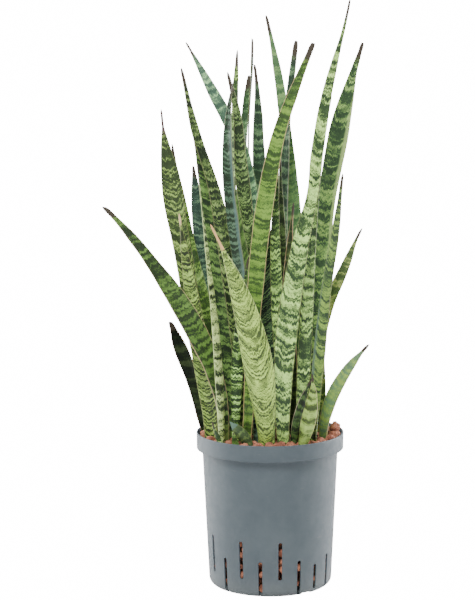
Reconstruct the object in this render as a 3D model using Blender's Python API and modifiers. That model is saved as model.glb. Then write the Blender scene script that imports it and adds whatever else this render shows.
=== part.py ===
"""A potted snake plant: a slotted grow pot filled with clay granules, the rhizomes and roots in the granules,
and the sword leaves that stand on the rhizomes. Metres, +Z up, origin at the middle of the pot's underside."""

import math
from collections import namedtuple

import bmesh
import bpy
from mathutils import Matrix, Vector, noise

MM = 0.001
NAME = "potted_snake_plant"
FIT = 0.0003  # clearance between pieces that touch
TURN_STEPS = 40  # facets around the pot and the bed

# The pot
POT_HEIGHT = 0.190
RIM_DIAMETER = 0.180
RIM_BAND = 0.020
RIM_OVERHANG = 0.007  # how far the rim band stands out from the wall under it
BASE_DIAMETER = 0.150
CORNER = 0.009  # rounding between wall and base
WALL = 0.0018
FLOOR = 0.0022
RIM_ROUND = 0.0009
FOOT_RING_WIDTH = 0.006
FOOT_HEIGHT = 0.003
BASE_BOSS_DIAMETER = 0.070  # the flat middle that the pot also stands on
FOOT_GAP_WIDTH = 0.016
FOOT_GAP_TURNS = (38, 158, 278)

# The slots in the wall, in pairs of one long and one short
SLOT_COUNT = 20
SLOT_WIDTH = 0.0042
LONG_SLOT = (0.022, 0.069)
SHORT_SLOT = (-0.004, 0.045)  # runs out through the corner
STUB_SLOT = (0.006, 0.037)
STUB_SLOT_AT = 2

# The granules
BED_DROP = 0.006  # from the rim down to the bed
BED_RELIEF = 0.0022
BED_RINGS = 7
GRANULE_SIZE = 0.012
LUMP_ROUGHNESS = 0.25
LUMP_GRAIN = 1.3
LUMP_STRETCH = 1.1

# The plant
PLANT_HEIGHT = 0.531  # the tallest tip above the bed
CLUMP_MARGIN = 0.0072  # from the outermost leaf foot to the inside of the rim band
RHIZOME_DIAMETER = 0.013
STEM_END = 0.7  # a rhizome's width at its ends, as a share
TUNNEL_END = 0.75
ROOT_DIAMETER = 0.0035
ROOT_STOP = 0.012  # from a root's end up from the pot's floor
LEAF_THICKNESS = 0.0035  # of a 20 mm leaf, half way up
EDGE_THICKNESS = 0.0009
AWL_WIDTH = 0.0017  # where the blade turns into its thread tip

# The leaves, stems and lumps were laid out at these sizes, and are scaled from them
LAID_OUT_HEIGHT = 0.531
LAID_OUT_RADIUS = 0.081
LAID_OUT_BODY = 0.0812
LAID_OUT_STEM = 0.013

Leaf = namedtuple("Leaf", "foot low high tip width full taper face turn awl colour")

# Millimetres from the pot's axis and from the bed. foot is where it stands, low, high and tip are on its
# centreline. full is the share of its length where it is widest, taper how late it narrows, face the way its
# hollow side looks (0 is to the front, 90 to the right), turn what it twists by, and awl its thread tip.
PALE, LIME, GREEN, BLUE, OLIVE = "pale", "lime", "green", "blue", "olive"
LEAVES = {
    "leaf_tallest": Leaf(
        (17, -44), (17, -50, 98), (44, -50, 280), (95, -38, 531), 26, 0.25, 1.1, 0, -12, 10, PALE
    ),
    "leaf_tallest_partner": Leaf(
        (34, -28), (41, -34, 112), (53, -30, 277), (74, -22, 418), 18, 0.3, 1.1, 15, 20, 9, PALE
    ),
    "leaf_tall_right": Leaf(
        (47, -8), (55, -10, 133), (77, -2, 329), (110, 8, 478), 23, 0.65, 2.4, 0, 10, 8, GREEN
    ),
    "leaf_right_upright": Leaf(
        (52, -34), (61, -34, 112), (74, -30, 235), (87, -26, 324), 17, 0.35, 1.4, -40, 10, 8, BLUE
    ),
    "leaf_right_leaning": Leaf(
        (62, 12), (65, 10, 80), (79, 16, 179), (113, 30, 252), 15, 0.55, 1.9, -10, 0, 8, GREEN
    ),
    "leaf_front_short": Leaf(
        (36, -62), (44, -64, 25), (50, -64, 56), (50, -62, 89), 17, 0.45, 1.8, 160, 10, 7, LIME
    ),
    "leaf_front_short_dark": Leaf(
        (27, -42), (34, -45, 28), (40, -46, 55), (50, -46, 79), 13, 0.4, 1.6, 200, 0, 6, OLIVE
    ),
    "leaf_right_arching": Leaf(
        (66, -20), (71, -22, 36), (91, -25, 79), (120, -28, 118), 18, 0.5, 1.9, -35, 0, 8, GREEN
    ),
    "leaf_centre_bright": Leaf(
        (-29, -33), (-18, -42, 174), (0, -34, 320), (49, -24, 479), 20, 0.6, 1.7, 0, -10, 9, LIME
    ),
    "leaf_front_wide": Leaf(
        (-4, -58), (-13, -66, 93), (-33, -76, 180), (-69, -90, 271), 34, 0.38, 1.9, 172, 15, 24, PALE
    ),
    "leaf_front_banded": Leaf(
        (-42, -40), (-40, -42, 77), (-35, -42, 151), (-25, -38, 226), 13.4, 0.4, 1.8, 180, 0, 7, PALE
    ),
    "leaf_centre_pale": Leaf(
        (14, -20), (9, -18, 159), (7, -14, 276), (13, -10, 354), 14, 0.5, 1.8, 10, 0, 8, PALE
    ),
    "leaf_centre_dark": Leaf(
        (20, 6), (17, 2, 119), (15, 4, 243), (13, 8, 343), 10, 0.4, 1.5, 30, 0, 8, OLIVE
    ),
    "leaf_centre_olive": Leaf(
        (27, -8), (22, -10, 121), (24, -12, 226), (29, -12, 288), 14, 0.55, 1.8, -25, 0, 8, OLIVE
    ),
    "leaf_back_slender": Leaf(
        (38, 22), (31, 30, 227), (16, 40, 400), (-4, 52, 510), 19, 0.5, 1.4, 0, 10, 9, GREEN
    ),
    "leaf_back_dark": Leaf(
        (11, 22), (16, 18, 229), (23, 22, 401), (32, 26, 480), 13.4, 0.6, 2.0, -30, 0, 8, BLUE
    ),
    "leaf_centre_shaded": Leaf(
        (0, -5), (-3, -7, 133), (-2, -7, 220), (1, -4, 283), 15, 0.5, 1.8, 0, 0, 8, BLUE
    ),
    "leaf_back_blue": Leaf(
        (-8, 38), (-10, 38, 163), (-14, 44, 375), (-20, 50, 451), 17, 0.65, 2.2, -20, 0, 12, BLUE
    ),
    "leaf_back_upright": Leaf(
        (-34, 38), (-37, 34, 164), (-30, 36, 375), (-24, 40, 438), 11, 0.75, 2.4, -30, 0, 7, GREEN
    ),
    "leaf_back_thin": Leaf(
        (-23, 54), (-26, 50, 162), (-25, 52, 387), (-22, 56, 482), 9, 0.3, 1.0, 80, 0, 10, BLUE
    ),
    "leaf_mottled": Leaf(
        (-22, 6), (-23, -4, 182), (-35, -8, 354), (-50, -2, 444), 14, 0.6, 1.9, 10, 0, 12, OLIVE
    ),
    "leaf_slender_pale": Leaf(
        (-39, 20), (-42, 8, 192), (-41, 2, 414), (-38, 6, 470), 10, 0.5, 1.4, -40, 0, 9, PALE
    ),
    "leaf_behind_blue": Leaf(
        (-12, -14), (-24, -17, 184), (-38, -18, 276), (-47, -14, 355), 11, 0.5, 1.5, 20, 0, 8, LIME
    ),
    "leaf_tall_blue": Leaf(
        (-16, -30), (-28, -30, 161), (-49, -30, 344), (-43, -22, 437), 16, 0.65, 2.4, -35, 0, 8, BLUE
    ),
    "leaf_back_left_long": Leaf(
        (-10, 16), (-11, 14, 167), (-33, 16, 346), (-98, 30, 479), 15, 0.78, 1.9, 10, 0, 9, PALE
    ),
    "leaf_left_tall": Leaf(
        (-37, 2), (-43, -14, 134), (-71, -26, 324), (-104, -24, 450), 15, 0.5, 1.3, 20, 0, 10, GREEN
    ),
    "leaf_left_inner": Leaf(
        (-50, -12), (-58, -4, 145), (-76, -6, 287), (-95, -2, 389), 21, 0.4, 1.4, 0, 0, 9, GREEN
    ),
    "leaf_left_edge_on": Leaf(
        (-58, -46), (-62, -52, 103), (-72, -54, 213), (-85, -50, 340), 12, 0.3, 1.0, 250, 0, 9, PALE
    ),
    "leaf_left_blue": Leaf(
        (-54, 26), (-74, 14, 142), (-87, 9, 255), (-93, 6, 331), 12, 0.75, 3.0, -10, 0, 6, BLUE
    ),
    "leaf_left_broad": Leaf(
        (-68, 2), (-96, -10, 170), (-113, -14, 273), (-129, -14, 401), 24, 0.65, 2.5, -5, 5, 20, GREEN
    ),
    "leaf_left_backing": Leaf(
        (-62, 12), (-82, 2, 179), (-104, 0, 274), (-117, 0, 358), 13, 0.5, 1.6, 40, 0, 8, OLIVE
    ),
    "leaf_left_short": Leaf(
        (-72, -16), (-86, -24, 123), (-100, -28, 220), (-108, -28, 277), 20, 0.45, 1.8, 0, 0, 7, LIME
    ),
    "leaf_left_arching": Leaf(
        (-58, -28), (-78, -40, 113), (-135, -48, 213), (-198, -54, 288), 24, 0.4, 1.5, 38, -8, 9, GREEN
    ),
    "leaf_left_low_dark": Leaf(
        (-74, 14), (-88, 8, 42), (-106, 2, 96), (-122, -2, 142), 21, 0.5, 2.2, -30, 0, 7, BLUE
    ),
    "shoot_leaning": Leaf(
        (-24, -62), (-33, -63, 14), (-41, -64, 23), (-48, -64, 31), 13, 0.5, 3.0, 180, 0, 2, OLIVE
    ),
    "shoot_pointed": Leaf(
        (-59, -54), (-62, -55, 9), (-66, -55, 18), (-69, -55, 29), 7, 0.4, 1.2, 180, 0, 4, PALE
    ),
    "shoot_green": Leaf(
        (-42, -61), (-42, -61, 6), (-43, -62, 11), (-44, -62, 17), 8, 0.5, 1.8, 180, 0, 2, LIME
    ),
}

LEAF_RINGS = (0.0, 0.06, 0.16, 0.28, 0.41, 0.54, 0.66, 0.77, 0.87, 0.95, 1.0)  # shares of the blade
ACROSS = (-1.0, -0.4, 0.4, 1.0)  # from one margin to the other
BASE_WIDTH_SHARE = 0.62
BASE_CURL = math.radians(62)
BLADE_CURL = math.radians(26)
CURL_REACH = 0.45  # share of the blade over which the curl opens
BASE_THICKENING = 0.55
THICK_REACH = 0.3  # share of the blade that is thicker
TIP_THINNING = 0.45
NARROW_SHARE = 0.6  # thickness that does not depend on a leaf's width
TYPICAL_WIDTH = 20  # millimetres, the leaf that LEAF_THICKNESS is for
MOST_THICKNESS = 0.8  # of the width
MOST_EDGE = 0.6  # of the width
SLOPE_STEP = 0.005  # share of the centreline over which its direction is read

# Each rhizome runs from left to right under a row of feet: millimetres from the axis, x and y
RHIZOMES = {
    "rhizome_front": ((-50, -50), (-36, -60), (-20, -61), (-4, -58), (16, -48), (36, -58)),
    "rhizome_mid_front": ((-58, -30), (-42, -38), (-28, -31), (-8, -26), (15, -22), (34, -29), (52, -33)),
    "rhizome_middle": ((-71, -12), (-50, -10), (-36, 2), (-22, 4), (0, -4), (26, -6), (47, -8), (64, -17)),
    "rhizome_mid_back": ((-70, 12), (-55, 24), (-39, 20), (-10, 16), (12, 20), (36, 21), (60, 13)),
    "rhizome_back": ((-44, 36), (-32, 39), (-21, 49), (-8, 39), (8, 42)),
}
# Each root hangs from the rhizome of the same name: where it starts, and where it ends
ROOTS = {
    "root_front": ((-12, -59), (4, -44)),
    "root_mid_front": ((44, -31), (52, -12)),
    "root_middle": ((-43, -4), (-55, -20)),
    "root_mid_back": ((50, 17), (36, 40)),
    "root_back": ((-15, 44), (-34, 54)),
}
# How far each row moves when the stems need more room, as a share of the extra, minus to the front
ROW_MOVES = {"front": -1.0, "mid_front": -0.5, "middle": 0.0, "mid_back": 1.0, "back": 1.5}
# The lumps that stand proud of the bed: x, y, and how far the middle is above the bed, in millimetres, and size
GRANULES = {
    "granule_right_low": (73, -34, 3, 1.0),
    "granule_right_high": (78, -16, 6, 1.25),
    "granule_right_back": (76, 4, 3, 0.9),
    "granule_left_front": (-72, -36, 2, 1.0),
    "granule_centre_front": (-14, -76, 2, 1.0),
}

COLOURS = {
    PALE: (0.44, 0.55, 0.30),
    LIME: (0.30, 0.45, 0.12),
    GREEN: (0.20, 0.34, 0.10),
    BLUE: (0.10, 0.20, 0.13),
    OLIVE: (0.17, 0.22, 0.07),
    "plastic": (0.16, 0.20, 0.23),
    "clay": (0.42, 0.17, 0.11),
    "rhizome": (0.62, 0.42, 0.22),
    "root": (0.70, 0.56, 0.38),
}


def clear_scene():
    for obj in list(bpy.data.objects):
        bpy.data.objects.remove(obj, do_unlink=True)


def new_collection(name):
    collection = bpy.data.collections.new(name)
    bpy.context.scene.collection.children.link(collection)
    return collection


def material(name, kind, roughness):
    """A plain finish in one of the colours above."""
    made = bpy.data.materials.new(name)
    made.use_nodes = True
    shader = made.node_tree.nodes["Principled BSDF"]
    shader.inputs["Base Color"].default_value = (*COLOURS[kind], 1.0)
    shader.inputs["Roughness"].default_value = roughness
    shader.inputs["Metallic"].default_value = 0.0
    made.diffuse_color = (*COLOURS[kind], 1.0)
    return made


def add_object(name, mesh, collection, finish=None):
    obj = bpy.data.objects.new(name, mesh)
    collection.objects.link(obj)
    if finish:
        mesh.materials.append(finish)
        mesh.shade_smooth()
        mesh.set_sharp_from_angle(angle=math.radians(40))
    return obj


def hide_cutter(obj):
    obj.hide_render = True
    obj.display_type = "WIRE"
    return obj


def mesh_from(bm, name):
    bmesh.ops.recalc_face_normals(bm, faces=bm.faces)
    mesh = bpy.data.meshes.new(name)
    bm.to_mesh(mesh)
    bm.free()
    return mesh


def cut(obj, cutter):
    boolean = obj.modifiers.new("cut " + cutter.name, "BOOLEAN")
    boolean.operation = "DIFFERENCE"
    boolean.solver = "EXACT"
    boolean.object = cutter


def solid_from_curve(obj):
    """Turns a curve object into welded triangles in world space, and removes the curve. Quads are split the
    same way each time, so the clearance around a tube is even."""
    graph = bpy.context.evaluated_depsgraph_get()
    mesh = bpy.data.meshes.new_from_object(obj.evaluated_get(graph))
    mesh.transform(obj.matrix_world)
    curve = obj.data
    bpy.data.objects.remove(obj, do_unlink=True)
    bpy.data.curves.remove(curve)
    bm = bmesh.new()
    bm.from_mesh(mesh)
    bmesh.ops.remove_doubles(bm, verts=bm.verts, dist=0.00001)
    bmesh.ops.triangulate(bm, faces=bm.faces, quad_method="FIXED")
    bmesh.ops.recalc_face_normals(bm, faces=bm.faces)
    bm.to_mesh(mesh)
    bm.free()
    return mesh


# Turned pieces


def arc(centre_x, centre_z, radius, start, end, steps):
    """Points on an arc in the XZ plane. Angles are in degrees, 0 at +X and 90 at +Z."""
    points = []
    for i in range(steps + 1):
        angle = math.radians(start + (end - start) * i / steps)
        points.append((centre_x + radius * math.cos(angle), centre_z + radius * math.sin(angle)))
    return points


def turned(name, profile, collection, finish=None):
    """A profile turned about Z, its facets set so that each slot falls in the middle of one."""
    bm = bmesh.new()
    last = None
    for x, z in profile:
        vert = bm.verts.new((x, 0.0, z))
        if last:
            bm.edges.new((last, vert))
        last = vert
    half_facet = Matrix.Rotation(math.pi / TURN_STEPS, 4, "Z")
    bmesh.ops.transform(bm, matrix=half_facet, verts=bm.verts)
    mesh = bpy.data.meshes.new(name)
    bm.to_mesh(mesh)
    bm.free()
    obj = add_object(name, mesh, collection, finish)
    screw = obj.modifiers.new("turn", "SCREW")
    screw.steps = TURN_STEPS
    screw.render_steps = TURN_STEPS
    screw.use_merge_vertices = True
    screw.merge_threshold = 0.00001
    screw.use_smooth_shade = True
    return obj


def body_radius(z):
    """The pot's outer radius at a height on the tapered wall."""
    top = POT_HEIGHT - RIM_BAND
    body = RIM_DIAMETER / 2 - RIM_OVERHANG
    return BASE_DIAMETER / 2 + (body - BASE_DIAMETER / 2) * z / top


def inner_wall(clearance):
    """The inside of the pot from the axis at the floor up to the top of the rim band, set in by a clearance."""
    step = POT_HEIGHT - RIM_BAND
    floor = FOOT_HEIGHT + FLOOR
    radius = CORNER - WALL
    centre_x = body_radius(floor) - WALL - radius
    corner = arc(centre_x, floor + radius, radius - clearance, -90, 0, 3)
    return [
        (0.0, floor + clearance),
        *corner,
        (body_radius(step) - WALL - clearance, step + WALL + clearance),
        (RIM_DIAMETER / 2 - WALL - clearance, step + WALL + clearance),
    ]


def pot_profile():
    step = POT_HEIGHT - RIM_BAND
    inside = RIM_DIAMETER / 2 - WALL
    foot_out = BASE_DIAMETER / 2 - CORNER
    foot_in = foot_out - FOOT_RING_WIDTH
    boss = BASE_BOSS_DIAMETER / 2
    lip = arc(inside + RIM_ROUND, POT_HEIGHT - RIM_ROUND, RIM_ROUND, 180, 0, 4)
    corner = arc(foot_out, CORNER, CORNER, 0, -90, 4)
    return [
        *inner_wall(0.0),
        *lip,
        (RIM_DIAMETER / 2, step),
        (body_radius(step), step),
        *corner,
        (foot_in, 0.0),
        (foot_in, FOOT_HEIGHT),
        (boss, FOOT_HEIGHT),
        (boss - FOOT_HEIGHT, 0.0),
        (0.0, 0.0),
    ]


def slot_outline(low, high):
    """A slot with a round top, and a round foot if it ends above the corner."""
    half = SLOT_WIDTH / 2
    points = arc(0.0, high - half, half, 0, 180, 6)
    if low > 0:
        points += arc(0.0, low + half, half, 180, 360, 6)
    else:
        points += [(-half, low), (half, low)]
    return points


def slot_solid(low, high):
    """A slot's outline made thick enough to pass through the wall at any height."""
    curve = bpy.data.curves.new("slot", "CURVE")
    curve.dimensions = "2D"
    curve.fill_mode = "BOTH"
    curve.extrude = CORNER
    outline = slot_outline(low, high)
    spline = curve.splines.new("POLY")
    spline.points.add(len(outline) - 1)
    for point, (x, z) in zip(spline.points, outline):
        point.co = (x, z, 0.0, 1.0)
    spline.use_cyclic_u = True
    obj = bpy.data.objects.new("slot", curve)
    bpy.context.scene.collection.objects.link(obj)
    obj.rotation_euler = (math.pi / 2, 0.0, 0.0)
    obj.location.y = -(body_radius(0.0) + body_radius(LONG_SLOT[1])) / 2
    bpy.context.view_layer.update()
    return solid_from_curve(obj)


def slot_cutter(collection):
    long_slot = slot_solid(*LONG_SLOT)
    short_slot = slot_solid(*SHORT_SLOT)
    stub_slot = slot_solid(*STUB_SLOT)
    pitch = 2 * math.pi / SLOT_COUNT
    bm = bmesh.new()
    for i in range(SLOT_COUNT):
        solid = long_slot if i % 2 == 0 else short_slot
        if i == STUB_SLOT_AT:
            solid = stub_slot
        before = len(bm.verts)
        bm.from_mesh(solid)
        bm.verts.ensure_lookup_table()
        place = Matrix.Rotation(pitch * (i + 0.5), 4, "Z")
        bmesh.ops.transform(bm, matrix=place, verts=bm.verts[before:])
    return hide_cutter(add_object("slots", mesh_from(bm, "slots"), collection))


def foot_gap_cutter(collection):
    """Gaps in the foot ring, which let water out from under the pot."""
    ring = BASE_DIAMETER / 2 - CORNER - FOOT_RING_WIDTH / 2
    bm = bmesh.new()
    for turn in FOOT_GAP_TURNS:
        size = Matrix.Diagonal((FOOT_GAP_WIDTH, 4 * CORNER, 2 * FOOT_HEIGHT, 1.0))
        place = Matrix.Rotation(math.radians(turn), 4, "Z") @ Matrix.Translation((0.0, -ring, 0.0))
        bmesh.ops.create_cube(bm, size=1.0, matrix=place @ size)
    return hide_cutter(add_object("foot_gaps", mesh_from(bm, "foot_gaps"), collection))


def grow_pot(parts, cutters):
    pot = turned("grow_pot", pot_profile(), parts, material("pot plastic", "plastic", 0.55))
    cut(pot, slot_cutter(cutters))
    cut(pot, foot_gap_cutter(cutters))


# The plant


def bed_height():
    return POT_HEIGHT - BED_DROP


def foot_depth():
    """The leaf feet lie this far below the bed, just above the step inside the rim band."""
    return RIM_BAND - WALL - BED_DROP - 2 * FIT


def clump_scale():
    return (RIM_DIAMETER / 2 - WALL - CLUMP_MARGIN) / LAID_OUT_RADIUS


def stem_scale(z):
    """The stems under the bed keep their place inside the wall at a height."""
    return (body_radius(z) - WALL) / LAID_OUT_BODY


def row_shift(name, scale):
    """Where a row moves, so that the rows stay apart for any stem diameter and any size of clump."""
    extra = RHIZOME_DIAMETER - LAID_OUT_STEM * scale
    return Vector((0.0, ROW_MOVES[name.split("_", 1)[1]] * extra, 0.0))


def cubic_through(points, t):
    """The cubic that passes through four points, at their chord lengths."""
    chords = [(b - a).length for a, b in zip(points, points[1:])]
    knots = [sum(chords[:i]) / sum(chords) for i in range(4)]
    total = Vector((0.0, 0.0, 0.0))
    for i in range(4):
        weight = 1.0
        for j in range(4):
            if j != i:
                weight *= (t - knots[j]) / (knots[i] - knots[j])
        total += weight * points[i]
    return total


def leaf_points(leaf):
    """The four points of a leaf's centreline, in metres from the bed."""
    across = MM * clump_scale()
    up = MM * PLANT_HEIGHT / LAID_OUT_HEIGHT
    foot = Vector((leaf.foot[0] * across, leaf.foot[1] * across, FIT - foot_depth()))
    rest = [Vector((x * across, y * across, z * up)) for x, y, z in (leaf.low, leaf.high, leaf.tip)]
    return [foot, *rest]


def ease(t):
    t = min(max(t, 0.0), 1.0)
    return t * t * (3 - 2 * t)


def blade_width(leaf, t):
    """The width across the curl at a share of the blade's length."""
    if t < leaf.full:
        share = BASE_WIDTH_SHARE + (1 - BASE_WIDTH_SHARE) * ease(t / leaf.full)
    else:
        share = 1 - ((t - leaf.full) / (1 - leaf.full)) ** leaf.taper
    return max(share * leaf.width * MM * clump_scale(), AWL_WIDTH)


def section(leaf, t, centre, along, grow):
    """One ring of a leaf: its hollow side from margin to margin, then its round side back again."""
    turn = math.radians(leaf.face + leaf.turn * t)
    facing = Vector((math.sin(turn), -math.cos(turn), 0.0))
    inward = (facing - facing.dot(along) * along).normalized()
    sideways = along.cross(inward)
    width = blade_width(leaf, t)
    curl = BLADE_CURL + (BASE_CURL - BLADE_CURL) * (1 - ease(t / CURL_REACH))
    radius = width / (2 * curl)
    breadth = clump_scale() * (NARROW_SHARE + (1 - NARROW_SHARE) * leaf.width / TYPICAL_WIDTH)
    fullness = (1 - TIP_THINNING * t) * (1 + BASE_THICKENING * (1 - ease(t / THICK_REACH)))
    middle = min(LEAF_THICKNESS * breadth * fullness, MOST_THICKNESS * width)
    edge = min(EDGE_THICKNESS, MOST_EDGE * width)
    hollow = []
    back = []
    for u in ACROSS:
        angle = u * (curl + grow / radius)
        thick = edge + (middle - edge) * (1 - u * u) + 2 * grow
        out = -math.cos(angle) * inward + math.sin(angle) * sideways
        spine = centre + radius * inward + radius * out
        hollow.append(spine - out * thick / 2)
        back.append(spine + out * thick / 2)
    return hollow + back[::-1]


def leaf_rings(leaf, grow=0.0):
    """The rings of a leaf from its flat foot up, and its tip."""
    points = leaf_points(leaf)
    length = sum((b - a).length for a, b in zip(points, points[1:]))
    blade = 1 - leaf.awl * MM / length
    rings = []
    for share in LEAF_RINGS:
        t = share * blade
        centre = cubic_through(points, t)
        if share == 0:
            along = Vector((0.0, 0.0, 1.0))
        else:
            ahead = cubic_through(points, t + SLOPE_STEP)
            along = (ahead - cubic_through(points, t - SLOPE_STEP)).normalized()
        rings.append(section(leaf, share, centre, along, grow))
    return rings, points[3]


def skin(bm, rings, tip=None):
    """Triangles over a stack of rings, closed by a flat foot and by a point or a flat top. A leaf and its
    pocket are split along the same diagonals, so the clearance between them is even."""
    loops = [[bm.verts.new(point) for point in ring] for ring in rings]
    for low, high in zip(loops, loops[1:]):
        for i in range(len(low)):
            j = (i + 1) % len(low)
            bm.faces.new((low[i], low[j], high[j]))
            bm.faces.new((low[i], high[j], high[i]))
    bm.faces.new(loops[0][::-1])
    top = loops[-1]
    if tip is None:
        bm.faces.new(top)
        return
    point = bm.verts.new(tip)
    for i in range(len(top)):
        bm.faces.new((top[i], top[(i + 1) % len(top)], point))


def add_leaf(name, leaf, parts, bed_empty):
    bm = bmesh.new()
    rings, tip = leaf_rings(leaf)
    skin(bm, rings, tip)
    obj = add_object(name, mesh_from(bm, name), parts, material(name, leaf.colour, 0.45))
    obj.parent = bed_empty


def pocket_cutter(collection, bed_empty):
    """The holes that the leaf bases stand in, each as wide as its leaf and the clearance."""
    bm = bmesh.new()
    for leaf in LEAVES.values():
        rings, _ = leaf_rings(leaf, grow=FIT)
        above = next(i for i, ring in enumerate(rings) if min(p.z for p in ring) > 2 * BED_RELIEF)
        rings[0] = [point - Vector((0.0, 0.0, FIT)) for point in rings[0]]
        skin(bm, rings[: above + 1])
    obj = add_object("leaf_pockets", mesh_from(bm, "leaf_pockets"), collection)
    obj.parent = bed_empty
    return hide_cutter(obj)


def tube(name, path, radius, ends=1.0):
    """A round stem along a path, narrower towards both ends."""
    curve = bpy.data.curves.new(name, "CURVE")
    curve.dimensions = "3D"
    curve.bevel_depth = radius
    curve.bevel_resolution = 2
    curve.use_fill_caps = True
    spline = curve.splines.new("POLY")
    spline.points.add(len(path) - 1)
    for i, place in enumerate(path):
        spline.points[i].co = (*place, 1.0)
        spline.points[i].radius = ends if i in (0, len(path) - 1) else 1.0
    obj = bpy.data.objects.new(name, curve)
    bpy.context.scene.collection.objects.link(obj)
    bpy.context.view_layer.update()
    return solid_from_curve(obj)


def smooth_path(points, steps):
    """A Catmull-Rom run through the points, with the given steps from each to the next."""
    ends = [2 * points[0] - points[1], *points, 2 * points[-1] - points[-2]]
    path = []
    for i in range(len(points) - 1):
        a, b, c, d = ends[i : i + 4]
        for k in range(steps):
            t = k / steps
            bend = (2 * a - 5 * b + 4 * c - d) * t * t + (3 * b - a - 3 * c + d) * t**3
            path.append(b + 0.5 * ((c - a) * t + bend))
    path.append(points[-1])
    return path


def rhizome_path(name, row):
    """A rhizome's middle line, level under a row of feet."""
    level = -foot_depth() - RHIZOME_DIAMETER / 2
    scale = stem_scale(bed_height() + level)
    shift = row_shift(name, scale)
    return smooth_path([Vector((x * MM * scale, y * MM * scale, level)) + shift for x, y in row], 2)


def root_path(name, start, end):
    """A root from under its rhizome down towards the pot's floor, with one easy bend."""
    top = -foot_depth() - RHIZOME_DIAMETER - 2 * FIT
    bottom = FOOT_HEIGHT + FLOOR + ROOT_STOP - bed_height()
    high = stem_scale(bed_height() - foot_depth() - RHIZOME_DIAMETER / 2)
    low = stem_scale(bed_height() + bottom)
    head = Vector((start[0] * MM * high, start[1] * MM * high, top)) + row_shift(name, high)
    foot = Vector((end[0] * MM * low, end[1] * MM * low, bottom))
    drop = bottom - top
    bend = Vector((head.x, head.y, top + 0.3 * drop))
    knee = Vector((foot.x, foot.y, top + 0.7 * drop))
    return smooth_path([head, bend, knee, foot], 2)


def lump(name, size, seed, grow=0.0):
    """A crushed clay lump: a coarse ball pushed in and out by noise, a little wider than it is high."""
    bm = bmesh.new()
    bmesh.ops.create_icosphere(bm, subdivisions=2, radius=1.0)
    for vert in bm.verts:
        rough = 1 + LUMP_ROUGHNESS * noise.noise(vert.co * LUMP_GRAIN + Vector((seed, 0.0, 0.0)))
        stretched = Vector((vert.co.x * LUMP_STRETCH, vert.co.y, vert.co.z / LUMP_STRETCH))
        vert.co = stretched * rough * (size / 2 + LUMP_STRETCH * grow)
    return mesh_from(bm, name)


def granule_meshes(grow=0.0):
    """The lumps that stand proud, in their places on the bed."""
    meshes = {}
    for seed, (name, (x, y, z, scale)) in enumerate(GRANULES.items()):
        mesh = lump(name, GRANULE_SIZE * scale * clump_scale(), seed, grow)
        mesh.transform(Matrix.Translation(Vector((x, y, z)) * MM * clump_scale()))
        meshes[name] = mesh
    return meshes


def joined(name, meshes, collection, bed_empty):
    """Separate solids in one cutter."""
    bm = bmesh.new()
    for mesh in meshes:
        bm.from_mesh(mesh)
    obj = add_object(name, mesh_from(bm, name), collection)
    obj.parent = bed_empty
    return hide_cutter(obj)


def granule_bed(parts):
    """The packed granules: they fill the pot up to a rough top."""
    walls = inner_wall(FIT)
    top = bed_height()
    edge = walls[-1][0]
    rings = [(edge * i / BED_RINGS, top) for i in range(BED_RINGS + 1)]
    bed = turned("granule_bed", rings + walls[::-1], parts, material("clay granules", "clay", 0.9))
    bpy.context.view_layer.update()
    graph = bpy.context.evaluated_depsgraph_get()
    mesh = bpy.data.meshes.new_from_object(bed.evaluated_get(graph))
    for vert in mesh.vertices:
        if vert.co.z > top - FIT:
            vert.co.z += BED_RELIEF * noise.noise(vert.co / GRANULE_SIZE)
    bed.modifiers.clear()
    bed.data = mesh
    return bed


def add_leaves(parts, cutters, bed, bed_empty):
    for name, leaf in LEAVES.items():
        add_leaf(name, leaf, parts, bed_empty)
    cut(bed, pocket_cutter(cutters, bed_empty))


def add_rhizomes(parts, cutters, bed, bed_empty):
    """The underground stems, in tunnels that are longer and wider than them by the clearance."""
    tunnels = []
    for name, row in RHIZOMES.items():
        path = rhizome_path(name, row)
        mesh = tube(name, path, RHIZOME_DIAMETER / 2, STEM_END)
        add_object(name, mesh, parts, material(name, "rhizome", 0.6)).parent = bed_empty
        first = path[0] - (path[1] - path[0]).normalized() * FIT
        last = path[-1] + (path[-1] - path[-2]).normalized() * FIT
        tunnels.append(tube(name, [first, *path[1:-1], last], RHIZOME_DIAMETER / 2 + FIT, TUNNEL_END))
    cut(bed, joined("rhizome_tunnels", tunnels, cutters, bed_empty))


def add_roots(parts, cutters, bed, bed_empty):
    """The roots, in channels that open into the tunnels above them."""
    channels = []
    reach = Vector((0.0, 0.0, 4 * FIT))
    for name, (start, end) in ROOTS.items():
        path = root_path(name, start, end)
        mesh = tube(name, path, ROOT_DIAMETER / 2)
        add_object(name, mesh, parts, material(name, "root", 0.7)).parent = bed_empty
        longer = [path[0] + reach, *path[1:-1], path[-1] - reach]
        channels.append(tube(name, longer, ROOT_DIAMETER / 2 + FIT))
    cut(bed, joined("root_channels", channels, cutters, bed_empty))


def add_granules(parts, cutters, bed, bed_empty):
    for name, mesh in granule_meshes().items():
        add_object(name, mesh, parts, material(name, "clay", 0.9)).parent = bed_empty
    cut(bed, joined("granule_seats", granule_meshes(FIT).values(), cutters, bed_empty))


def main():
    clear_scene()
    parts = new_collection(NAME)
    cutters = new_collection("cutters")
    bed_empty = bpy.data.objects.new("bed_level", None)
    parts.objects.link(bed_empty)
    bed_empty.location.z = bed_height()
    grow_pot(parts, cutters)
    bed = granule_bed(parts)
    add_leaves(parts, cutters, bed, bed_empty)
    add_rhizomes(parts, cutters, bed, bed_empty)
    add_roots(parts, cutters, bed, bed_empty)
    add_granules(parts, cutters, bed, bed_empty)


main()
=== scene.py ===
"""The looks of a potted snake plant: a slotted grow pot, crushed clay granules and sword leaves."""

import math

import bmesh
import bpy
import numpy as np
from mathutils import Euler, Matrix, Vector, noise
from mathutils.bvhtree import BVHTree


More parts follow.
